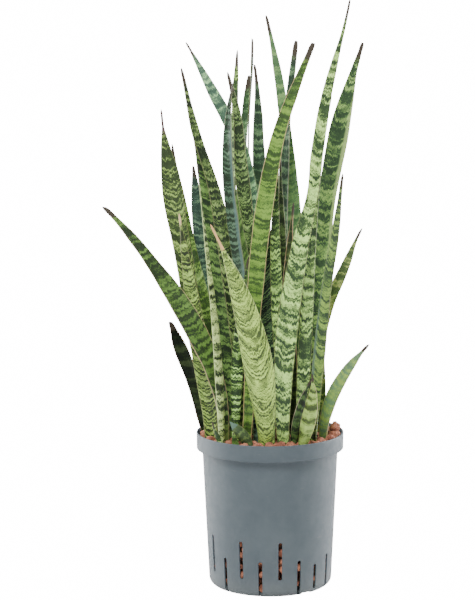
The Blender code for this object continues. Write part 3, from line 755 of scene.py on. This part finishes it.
def blade(name, node, bends, seed):
    """A fine leaf over the frame's rings, with the places across and along it kept for its finish."""
    rings, tip = rings_of(node)
    middles = [ring.mean(0) for ring in rings] + [tip]
    knots = np.concatenate([[0.0], np.cumsum([np.linalg.norm(b - a) for a, b in zip(middles, middles[1:])])])
    length = knots[-1]
    blade_length = knots[-2]
    rails = np.array([*rings, np.array([tip] * RING)])
    steps = int(blade_length / ALONG_STEP)
    up_the_blade = np.linspace(0, blade_length, steps)
    at = list(up_the_blade) + list(np.linspace(blade_length, length, AWL_STEPS)[1:-1])
    rows = eased_run(knots[:-1], rails[:-1], up_the_blade)
    last = rails[-2].mean(0)
    awl = []
    for t in np.linspace(0, 1, AWL_STEPS)[1:-1]:
        awl.append(last + (tip - last) * t + (rails[-2] - last) * (1 - t) ** AWL_ROUND)
    rows = np.concatenate([rows, np.array(awl)])
    for row, v in zip(rows, at):
        middle = row.mean(0)
        across = (row[[3, 4]].mean(0) - row[[7, 0]].mean(0)) / 2
        least = LEAST_HALF_WIDTH * min(1.0, (length - v) / POINT_FADE) ** 0.5
        half = max(np.linalg.norm(across), 1e-6)
        grown = max(half * FULLNESS, least) / half - 1
        way = 1.0 if across[0] > 0 else -1.0
        to_left, to_right = bent(bends, middle[2] / MM)
        for i, reach in enumerate((*STATIONS, *STATIONS[::-1])):
            side = (1 + reach * way) / 2
            row[i] += across * reach * grown
            row[i][0] += (to_left * (1 - side) + to_right * side) * MM
    us = np.sin(np.linspace(-math.pi / 2, math.pi / 2, ACROSS_STEPS + 1))
    weights = np.array([across_weights(u) for u in us])
    points, blade_at, margin_at, share_at = [], [], [], []
    per_row = 2 * (ACROSS_STEPS + 1) + 2
    for row, v in zip(rows, at):
        inner = weights @ row[[0, 1, 2, 3]]
        outer = weights @ row[[7, 6, 5, 4]]
        spine = (inner + outer) / 2
        half = (outer - inner) / 2
        wide = np.linalg.norm(spine[-1] - spine[0])
        share = min(v / blade_length, 1.0)
        fade = min(1.0, wide / FULL_RIPPLE_WIDTH)
        for k, u in enumerate(us):
            bend = RIPPLE * fade * u**2 * noise.noise(Vector((v * 34.0, u * 0.9, seed * 7.3)))
            bend += 0.5 * RIPPLE * fade * noise.noise(Vector((v * 14.0, u * 3.0, seed * 3.1 + 40.0)))
            out = half[k] / max(np.linalg.norm(half[k]), 1e-9)
            spine[k] = spine[k] + out * bend * 2.2
        inner, outer = spine - half, spine + half
        left = spine[0] + outward(spine[0], spine[1]) * MARGIN_RIDGE * fade
        right = spine[-1] + outward(spine[-1], spine[-2]) * MARGIN_RIDGE * fade
        arc = np.concatenate([[0.0], np.cumsum(np.linalg.norm(np.diff(spine, axis=0), axis=1))])
        x = arc - arc[-1] / 2
        edge = np.minimum(arc, arc[-1] - arc)
        points += [*inner, right, *outer[::-1], left]
        blade_at += [(a, v, 0.0) for a in x] + [(x[-1], v, 0.5)]
        blade_at += [(a, v, 1.0) for a in x[::-1]] + [(x[0], v, 0.5)]
        margin_at += [*edge, OUT_ON_THE_RIDGE, *edge[::-1], OUT_ON_THE_RIDGE]
        share_at += [share] * per_row
    bm = bmesh.new()
    made = [bm.verts.new(p) for p in points]
    for r in range(len(rows) - 1):
        for k in range(per_row):
            j = (k + 1) % per_row
            a, b = r * per_row, (r + 1) * per_row
            bm.faces.new((made[a + k], made[a + j], made[b + j], made[b + k]))
    bm.faces.new([made[k] for k in range(per_row)][::-1])
    top = (len(rows) - 1) * per_row
    point = bm.verts.new(tip)
    for k in range(per_row):
        bm.faces.new((made[top + k], made[top + (k + 1) % per_row], point))
    bmesh.ops.recalc_face_normals(bm, faces=bm.faces)
    mesh = set_down(bm, name)
    blade_at.append((0.0, length, 0.5))
    margin_at.append(0.0)
    share_at.append(1.0)
    held = mesh.attributes.new("blade", "FLOAT_VECTOR", "POINT")
    held.data.foreach_set("vector", np.array(blade_at, np.float32).ravel())
    for key, values in (("margin", margin_at), ("share", share_at)):
        held = mesh.attributes.new(key, "FLOAT", "POINT")
        held.data.foreach_set("value", np.array(values, np.float32))
    return new_piece(name, mesh)


def leaf_skin(name, seed, light, mid, dark, gap=8.0, cover=0.45, lines=0.6, arch=25.0, centre=0.0, slant=0.0,
              teeth=4.0, wander=5.0, soft=0.035, top=0.04, flank=None, flank_from=4.0, base=None,
              margin=(0.16, 0.16, 0.065), margin_width=0.22, tip=(0.035, 0.028, 0.018), tip_at=0.975,
              rough=0.46, gloss=0.22):
    """Waxy leaf skin. Its bands run across the blade: light skin between them, then mid, then dark. gap is
    from band to band in millimetres, and cover the share that is dark. arch lifts the bands towards the
    margins, from a line centre millimetres off the middle, and slant tilts them. teeth and wander are how
    far their edges stray, in millimetres. lines is how dark the thin lines between them are. flank colours
    a strip past flank_from millimetres on one side, base the foot, and tip the dry point."""
    finish = Finish("skin_" + name)
    blade_place = finish.node("ShaderNodeAttribute", "Vector")
    blade_place.node.attribute_name = "blade"
    x, v, side = finish.split(blade_place)
    edge = finish.node("ShaderNodeAttribute", "Fac")
    edge.node.attribute_name = "margin"
    share = finish.node("ShaderNodeAttribute", "Fac")
    share.node.attribute_name = "share"
    other = finish.sum("MULTIPLY_ADD", side, 0.31, seed * 1.7)

    def veins(across, along, shift, detail=2.0, roughness=0.5):
        """Noise on the blade, with one scale across it and another along it."""
        place = finish.join(
            finish.sum("MULTIPLY", x, across),
            finish.sum("MULTIPLY", v, along),
            finish.sum("ADD", other, shift),
        )
        return finish.grain(place, 1.0, detail, roughness)

    def stray(value, size):
        """Noise turned into a distance of up to size millimetres either way."""
        return finish.sum("MULTIPLY", finish.sum("SUBTRACT", value, 0.5), 2 * size * MM)

    from_middle = finish.sum("SUBTRACT", x, centre * MM)
    lift = finish.sum("MULTIPLY", finish.sum("MULTIPLY", from_middle, from_middle), arch)
    lift = finish.sum("MULTIPLY_ADD", x, slant, lift)
    level = finish.sum("SUBTRACT", v, lift)
    level = finish.sum("ADD", level, stray(veins(70.0, 22.0, 3.0), wander))
    level = finish.sum("ADD", level, stray(veins(400.0, 80.0, 7.0, 3.0, 0.62), teeth * 1.5))

    def bands(spacing, shift, detail, across=16.0):
        """Noise drawn out across the blade, to read as cross bands."""
        place = finish.join(
            finish.sum("MULTIPLY", x, across),
            finish.sum("MULTIPLY", level, 1.4 / (spacing * MM)),
            finish.sum("ADD", other, shift),
        )
        return finish.grain(place, 1.0, detail, 0.55)

    speck = veins(1500.0, 900.0, 17.0, 2.0, 0.6)
    blotch = veins(120.0, 45.0, 29.0, 3.0, 0.6)
    broad = finish.sum("ADD", bands(gap, 11.0, 2.0), finish.sum("MULTIPLY_ADD", speck, 0.40, -0.20))
    broad = finish.sum("ADD", broad, finish.sum("MULTIPLY_ADD", blotch, 0.26, -0.13))
    broad = finish.sum("ADD", broad, finish.ramp(share, 0.55, 1.0, 0.0, top))
    cut = 0.5 + (0.5 - cover) * 0.42
    thin = finish.sum("ABSOLUTE", finish.sum("SUBTRACT", bands(gap * 0.75, 23.0, 1.0, 9.0), 0.5))
    broken = finish.ramp(veins(160.0, 90.0, 61.0), 0.36, 0.56)
    thin = finish.sum("MULTIPLY", finish.ramp(thin, 0.052, 0.018), broken)
    fibre = veins(1600.0, 14.0, 31.0, 2.0, 0.6)

    body = finish.blend(finish.ramp(broad, cut - 0.025, cut - 0.10), mid, light)
    if base:
        body = finish.blend(finish.ramp(v, 0.10, 0.02), body, base)
    body = finish.blend(finish.sum("MULTIPLY", thin, lines), body, dark)
    body = finish.blend(finish.ramp(broad, cut - soft, cut + soft), body, dark)
    core = finish.ramp(broad, cut + 0.08, cut + 0.18, 0.0, 0.4)
    body = finish.blend(core, body, tuple(c * 0.5 for c in dark))
    if flank:
        reach = finish.sum("MULTIPLY", x, 1.0 if flank_from > 0 else -1.0)
        reach = finish.sum("ADD", reach, stray(blotch, 1.5))
        start = abs(flank_from) * MM
        body = finish.blend(finish.ramp(reach, start - 0.001, start + 0.0015, 0.0, 0.8), body, flank)
    shade = finish.ramp(fibre, 0.25, 0.75, 0.0, 0.22)
    body = finish.blend(shade, body, tuple(c * 0.75 for c in dark))
    rim_edge = finish.sum("ADD", edge, stray(veins(10.0, 90.0, 41.0, 3.0, 0.7), margin_width * 2.2))
    rim_share = finish.ramp(rim_edge, margin_width * MM * 1.4, margin_width * MM * 0.6, 0.0, 0.5)
    body = finish.blend(rim_share, body, margin)
    dry = finish.sum("ADD", share, stray(veins(200.0, 60.0, 47.0, 2.0, 0.6), 14.0))
    body = finish.blend(finish.ramp(dry, tip_at - 0.015, tip_at + 0.01), body, tip)
    finish.colour(body)
    finish.roughness(finish.ramp(veins(300.0, 60.0, 53.0, 3.0, 0.6), 0.25, 0.75, rough - 0.06, rough + 0.1))
    height = finish.sum("ADD", finish.sum("MULTIPLY", fibre, 0.5), finish.sum("MULTIPLY", broad, 0.8))
    finish.relief(height, 0.0002, 0.5)
    finish.gloss(gloss)
    return finish.material


def grow(name, slot, seed, bends=(), **look):
    """One leaf: its blade, its skin, and the node that it stands for."""
    piece = blade(name.replace("leaf", "blade").replace("shoot", "sprout"), leaf_nodes[name], bends, seed)
    piece.data.materials.append(leaf_skin(name, seed, **look))
    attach(piece, "root")
    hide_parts(name)


PALE_SKIN = {"light": (0.43, 0.68, 0.17), "mid": (0.16, 0.27, 0.070), "dark": (0.020, 0.043, 0.014)}
grow(
    "leaf_tallest", "leaf_pale", 1, **PALE_SKIN, gap=6.5, cover=0.46, arch=45.0, centre=2.5, teeth=5.0,
    bends=((600, 120, -8, -4), (480, 50, 4, 1)),
)
grow(
    "leaf_tallest_partner", "leaf_pale", 2, **PALE_SKIN, gap=7.5, cover=0.5, arch=50.0, centre=1.5, teeth=5.0,
)
grow(
    "leaf_centre_pale", "leaf_pale", 3, **PALE_SKIN, gap=6.5, cover=0.5, arch=60.0, centre=-2.0, teeth=5.0,
)
grow(
    "leaf_front_banded", "leaf_pale", 4, light=(0.396, 0.66, 0.176), mid=(0.15, 0.275, 0.056),
    dark=(0.01, 0.025, 0.006), gap=7.0, cover=0.55, arch=20.0, teeth=3.0,
)
grow(
    "leaf_slender_pale", "leaf_pale", 5, **PALE_SKIN, gap=7.0, cover=0.45,
    bends=((600, 60, -2, 3),),
)
grow(
    "leaf_back_left_long", "leaf_pale", 6, light=(0.272, 0.493, 0.221), mid=(0.114, 0.218, 0.11),
    dark=(0.043, 0.09, 0.057), gap=9.0, cover=0.45, teeth=3.0,
    bends=((612, 90, -8, -8),),
)
grow(
    "leaf_left_edge_on", "leaf_pale", 7, light=(0.45, 0.58, 0.195), mid=(0.093, 0.145, 0.043),
    dark=(0.011, 0.019, 0.006), gap=8.0, cover=0.38, margin=(0.42, 0.52, 0.22), margin_width=0.3,
    bends=((280, 220, -1, 4),),
)
grow(
    "leaf_front_wide", "leaf_pale", 8, light=(0.4, 0.588, 0.109), mid=(0.166, 0.259, 0.048),
    dark=(0.036, 0.057, 0.013), gap=4.4, cover=0.42, lines=0.7, arch=80.0, centre=0.5, teeth=4.2, wander=3.0,
    top=0.0, tip=(0.50, 0.30, 0.13), tip_at=0.965, margin=(0.50, 0.52, 0.25),
)
grow("shoot_pointed", "leaf_pale", 9, **PALE_SKIN, gap=5.0, margin=(0.6, 0.5, 0.3))


# ------------------------------------------------------------------------------
# Leaves with yellow-green ground. The same kind of blade, each grown in one piece from its rhizome: a bright
# tall one at the middle of the clump, three shorter ones and a shoot. Two have a straw-coloured margin.
# ------------------------------------------------------------------------------

grow(
    "leaf_centre_bright", "leaf_lime", 11, light=(0.145, 0.257, 0.037), mid=(0.061, 0.133, 0.019),
    dark=(0.024, 0.05, 0.01), gap=7.0, cover=0.42, arch=18.0, teeth=2.6, margin=(0.50, 0.36, 0.18),
    bends=((640, 100, 2, 6),),
)
grow(
    "leaf_front_short", "leaf_lime", 12, light=(0.255, 0.378, 0.086), mid=(0.124, 0.192, 0.038),
    dark=(0.033, 0.052, 0.013), gap=11.0, cover=0.36, teeth=2.0, margin=(0.5, 0.4, 0.2),
)
grow(
    "leaf_behind_blue", "leaf_lime", 13, light=(0.16, 0.285, 0.068), mid=(0.109, 0.209, 0.043),
    dark=(0.041, 0.079, 0.022), gap=10.0, cover=0.4, slant=0.9, teeth=2.0,
)
grow(
    "leaf_left_short", "leaf_lime", 14, light=(0.336, 0.504, 0.105), mid=(0.143, 0.22, 0.046),
    dark=(0.017, 0.026, 0.009), gap=4.6, cover=0.46, arch=75.0, teeth=2.6, wander=3.0, tip=(0.5, 0.36, 0.2),
    bends=((230, 120, 0, 4),),
)
grow(
    "shoot_green", "leaf_lime", 15, light=(0.12, 0.24, 0.05), mid=(0.07, 0.15, 0.03),
    dark=(0.03, 0.06, 0.015), gap=8.0,
)


# ------------------------------------------------------------------------------
# Leaves with mid green ground. The same kind of blade, each grown in one piece from its rhizome. They stand
# at both sides and at the back, and those at the edge of the clump lean or arch outward.
# ------------------------------------------------------------------------------

grow(
    "leaf_tall_right", "leaf_green", 21, light=(0.284, 0.459, 0.115), mid=(0.102, 0.198, 0.054),
    dark=(0.027, 0.056, 0.023), gap=7.0, cover=0.5, arch=50.0, teeth=5.0,
    flank=(0.30, 0.42, 0.14), flank_from=7.5,
    bends=((470, 90, -2, -4), (560, 70, -3, 0), (660, 40, 1, 3)),
)
grow(
    "leaf_right_leaning", "leaf_green", 22, light=(0.34, 0.39, 0.114), mid=(0.14, 0.21, 0.056),
    dark=(0.051, 0.085, 0.025), gap=10.0, cover=0.45, teeth=3.0,
    bends=((300, 80, -8, -7), (395, 50, 3, 5)),
)
grow(
    "leaf_right_arching", "leaf_green", 23, light=(0.209, 0.308, 0.066), mid=(0.14, 0.238, 0.059),
    dark=(0.09, 0.16, 0.08), gap=12.0, cover=0.42, teeth=2.0, margin=(0.55, 0.42, 0.22),
    bends=((250, 60, 0, -2), (290, 40, -2, 0)),
)
grow(
    "leaf_back_slender", "leaf_green", 24, light=(0.156, 0.273, 0.088), mid=(0.091, 0.175, 0.063),
    dark=(0.05, 0.108, 0.043), gap=8.0, cover=0.45, teeth=3.0,
    bends=((630, 100, -1, 2),),
)
grow(
    "leaf_back_upright", "leaf_green", 25, light=(0.144, 0.255, 0.098), mid=(0.072, 0.152, 0.058),
    dark=(0.025, 0.059, 0.022), gap=9.0, cover=0.45, teeth=3.0,
    bends=((600, 50, -2, 1),),
)
grow(
    "leaf_left_tall", "leaf_green", 26, light=(0.196, 0.286, 0.084), mid=(0.065, 0.115, 0.028),
    dark=(0.009, 0.017, 0.006), gap=6.0, cover=0.48, arch=40.0, teeth=5.0,
    bends=((565, 85, -7, -3), (440, 110, -1, 4), (270, 140, 0, 5)),
)
grow(
    "leaf_left_inner", "leaf_green", 27, light=(0.13, 0.235, 0.055), mid=(0.039, 0.082, 0.017),
    dark=(0.008, 0.019, 0.006), gap=9.5, cover=0.42, slant=-0.5, teeth=3.4, margin=(0.34, 0.36, 0.18),
    bends=((500, 90, 0, 3),),
)
grow(
    "leaf_left_broad", "leaf_green", 28, light=(0.284, 0.425, 0.098), mid=(0.083, 0.137, 0.033),
    dark=(0.021, 0.035, 0.011), gap=4.4, cover=0.5, arch=60.0, teeth=4.6, top=0.10, tip=(0.055, 0.035, 0.030),
    bends=((405, 90, 4, 0), (500, 60, 0, 3)),
)
grow(
    "leaf_left_arching", "leaf_green", 29, light=(0.1, 0.19, 0.038), mid=(0.055, 0.111, 0.021),
    dark=(0.016, 0.029, 0.01), gap=7.5, cover=0.48, arch=10.0, teeth=3.6, margin=(0.50, 0.36, 0.20),
    base=(0.17, 0.26, 0.07),
    bends=((350, 80, -4, 1), (450, 60, 0, 5)),
)


# ------------------------------------------------------------------------------
# Leaves with blue-green ground. The same kind of blade, each grown in one piece from its rhizome. Many stand
# at the back or in the shade of others, and two show a plain bluish strip along one margin.
# ------------------------------------------------------------------------------

BLUE_SKIN = {"light": (0.100, 0.175, 0.080), "mid": (0.045, 0.088, 0.045), "dark": (0.014, 0.030, 0.016)}
grow(
    "leaf_right_upright", "leaf_blue", 31, light=(0.196, 0.313, 0.061), mid=(0.097, 0.17, 0.047),
    dark=(0.029, 0.049, 0.025), gap=4.2, cover=0.42, arch=70.0, centre=2.5, teeth=2.4, wander=3.0,
    flank=(0.062, 0.105, 0.085), flank_from=-6.0,
    bends=((440, 90, 1, 4),),
)
grow(
    "leaf_back_dark", "leaf_blue", 32, **BLUE_SKIN, gap=10.0, cover=0.42, teeth=3.0,
    bends=((640, 60, -1, 3),),
)
grow(
    "leaf_centre_shaded", "leaf_blue", 33, light=(0.18, 0.304, 0.12), mid=(0.044, 0.09, 0.048),
    dark=(0.01, 0.02, 0.011), gap=4.4, cover=0.48, slant=0.9, teeth=3.0,
    bends=((240, 180, 0, 4),),
)
grow(
    "leaf_back_blue", "leaf_blue", 34, **BLUE_SKIN, gap=10.0, cover=0.45, teeth=3.0,
    bends=((610, 80, 2, 3),),
)
grow(
    "leaf_back_thin", "leaf_blue", 35, **BLUE_SKIN, gap=10.0, cover=0.45, teeth=3.0,
    bends=((640, 90, 1, 3),),
)
grow(
    "leaf_tall_blue", "leaf_blue", 36, light=(0.075, 0.138, 0.081), mid=(0.029, 0.063, 0.034),
    dark=(0.008, 0.018, 0.008), gap=5.0, cover=0.45, teeth=3.0, lines=0.4,
    flank=(0.060, 0.115, 0.100), flank_from=3.5,
    bends=((640, 50, 3, 1),),
)
grow(
    "leaf_left_blue", "leaf_blue", 37, light=(0.12, 0.201, 0.112), mid=(0.039, 0.083, 0.053),
    dark=(0.013, 0.03, 0.021), gap=6.0, cover=0.45, teeth=3.0,
    bends=((480, 80, 1, 3),),
)
grow(
    "leaf_left_low_dark", "leaf_blue", 38, light=(0.024, 0.036, 0.013), mid=(0.008, 0.015, 0.004),
    dark=(0.004, 0.007, 0.003), gap=12.0, cover=0.45, teeth=2.0, margin=(0.42, 0.26, 0.15),
    rough=0.6, gloss=0.05,
    bends=((250, 60, 5, 4), (305, 45, -1, 5)),
)


# ------------------------------------------------------------------------------
# Leaves with olive ground. The same kind of blade, each grown in one piece from its rhizome. They stand among
# the others at the middle, in front and at the left, and the last is the shoot that leans over at the rim.
# ------------------------------------------------------------------------------

grow(
    "leaf_front_short_dark", "leaf_olive", 41, light=(0.054, 0.105, 0.027), mid=(0.02, 0.044, 0.011),
    dark=(0.006, 0.012, 0.004), gap=9.0, cover=0.4, margin=(0.50, 0.42, 0.30),
)
grow(
    "leaf_centre_dark", "leaf_olive", 42, light=(0.084, 0.133, 0.042), mid=(0.036, 0.062, 0.019),
    dark=(0.011, 0.02, 0.006), gap=6.0, teeth=4.0,
    bends=((400, 130, -5, 2),),
)
grow(
    "leaf_centre_olive", "leaf_olive", 43, light=(0.060, 0.085, 0.022), mid=(0.030, 0.048, 0.014),
    dark=(0.012, 0.020, 0.006), gap=8.0, margin=(0.42, 0.26, 0.14),
    bends=((240, 160, 0, 6),),
)
grow(
    "leaf_mottled", "leaf_olive", 44, light=(0.246, 0.384, 0.112), mid=(0.09, 0.15, 0.045),
    dark=(0.014, 0.026, 0.009), gap=4.4, cover=0.52, arch=90.0, teeth=4.6,
    bends=((510, 70, -4, 0), (580, 60, 0, 4)),
)
grow(
    "leaf_left_backing", "leaf_olive", 45, light=(0.247, 0.396, 0.1), mid=(0.099, 0.19, 0.024),
    dark=(0.026, 0.055, 0.013), gap=9.0, cover=0.42,
    bends=((260, 160, -5, 0), (480, 80, 0, 3)),
)
grow(
    "shoot_leaning", "leaf_olive", 46, light=(0.13, 0.20, 0.055), mid=(0.075, 0.12, 0.038),
    dark=(0.035, 0.060, 0.022), gap=7.0, tip=(0.070, 0.125, 0.090), tip_at=0.84,
)


# ------------------------------------------------------------------------------
# Floor and surround. A plain sheet of white paper that runs out of sight under the pot, and an even white
# studio round it. Both throw a soft light on the plant, and show as clean white.
# ------------------------------------------------------------------------------

SURROUND = 0.32
SEEN_WHITE = 16.0
FLOOR_RADIUS = 6.0
FLOOR_DROP = 0.0003
PAPER = (0.82, 0.82, 0.82, 1.0)
PAPER_ROUGHNESS = 0.9
WHITE = (1.0, 1.0, 1.0, 1.0)


def seen_as(tree, lit, shown, output):
    """Lets one shader light the plant, and shows another."""
    path = tree.nodes.new("ShaderNodeLightPath")
    either = tree.nodes.new("ShaderNodeMixShader")
    tree.links.new(path.outputs["Is Camera Ray"], either.inputs[0])
    tree.links.new(lit.outputs[0], either.inputs[1])
    tree.links.new(shown.outputs[0], either.inputs[2])
    tree.links.new(either.outputs[0], output.inputs[0])


def background(tree, strength):
    made = tree.nodes.new("ShaderNodeBackground")
    made.inputs["Color"].default_value = WHITE
    made.inputs["Strength"].default_value = strength
    return made


world = bpy.data.worlds.new("surround")
bpy.context.scene.world = world
world.use_nodes = True
tree = world.node_tree
tree.nodes.clear()
out = tree.nodes.new("ShaderNodeOutputWorld")
seen_as(tree, background(tree, SURROUND), background(tree, SEEN_WHITE), out)

paper = bpy.data.materials.new("white_floor")
paper.use_nodes = True
tree = paper.node_tree
shader = tree.nodes["Principled BSDF"]
shader.inputs["Base Color"].default_value = PAPER
shader.inputs["Roughness"].default_value = PAPER_ROUGHNESS
glow = tree.nodes.new("ShaderNodeEmission")
glow.inputs["Strength"].default_value = SEEN_WHITE
seen_as(tree, shader, glow, tree.nodes["Material Output"])

bm = bmesh.new()
bmesh.ops.create_circle(bm, cap_ends=True, segments=96, radius=FLOOR_RADIUS)
floor = new_piece("floor", set_down(bm, "floor"))
floor.location.z = -FLOOR_DROP
floor.data.materials.append(paper)
floor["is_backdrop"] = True


# ------------------------------------------------------------------------------
# Softboxes. Cloth-fronted lamps, aimed at the middle of the plant: a tall one at each side, a little to the
# back, a square one high in front, and a weak one behind.
# ------------------------------------------------------------------------------

AIM = Vector((0.0, 0.0, 0.35))
BACK_AIM = Vector((0.0, 0.0, 0.4))
TALL = (1.0, 1.8)
SQUARE = (1.0, 1.0)


def softbox(name, place, aim, size, watts):
    lamp = bpy.data.lights.new(name, "AREA")
    lamp.shape = "RECTANGLE"
    lamp.size, lamp.size_y = size
    lamp.energy = watts
    box = bpy.data.objects.new(name, lamp)
    bpy.context.scene.collection.objects.link(box)
    box.location = place
    box.rotation_euler = (aim - Vector(place)).to_track_quat("-Z", "Y").to_euler()


softbox("left_softbox", (-1.45, 0.68, 0.7), AIM, TALL, 105)
softbox("right_softbox", (1.45, 0.68, 0.7), AIM, TALL, 115)
softbox("front_softbox", (-0.4, -1.7, 2.5), AIM, SQUARE, 150)
softbox("back_softbox", (0.4, 2.0, 1.7), BACK_AIM, SQUARE, 25)


# ------------------------------------------------------------------------------
# Camera. A long lens in front of the plant, just above the highest tip, that looks a little down on the
# rim and is turned a little to the left.
# ------------------------------------------------------------------------------

LENS = 129.5
SENSOR = 36.0
CAMERA_PLACE = (0.0, -2.59, 0.74)
TURNED_LEFT = 0.864
TILTED_DOWN = 8.52
ROLLED = -0.25

lens = bpy.data.cameras.new("camera")
lens.lens = LENS
lens.sensor_width = SENSOR
camera = bpy.data.objects.new("camera", lens)
bpy.context.scene.collection.objects.link(camera)
camera.location = CAMERA_PLACE
look = Matrix.Rotation(math.radians(TURNED_LEFT), 4, "Z")
look @= Matrix.Rotation(math.radians(90 - TILTED_DOWN), 4, "X")
look @= Matrix.Rotation(math.radians(ROLLED), 4, "Z")
camera.rotation_euler = look.to_euler()
bpy.context.scene.camera = camera

low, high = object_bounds()
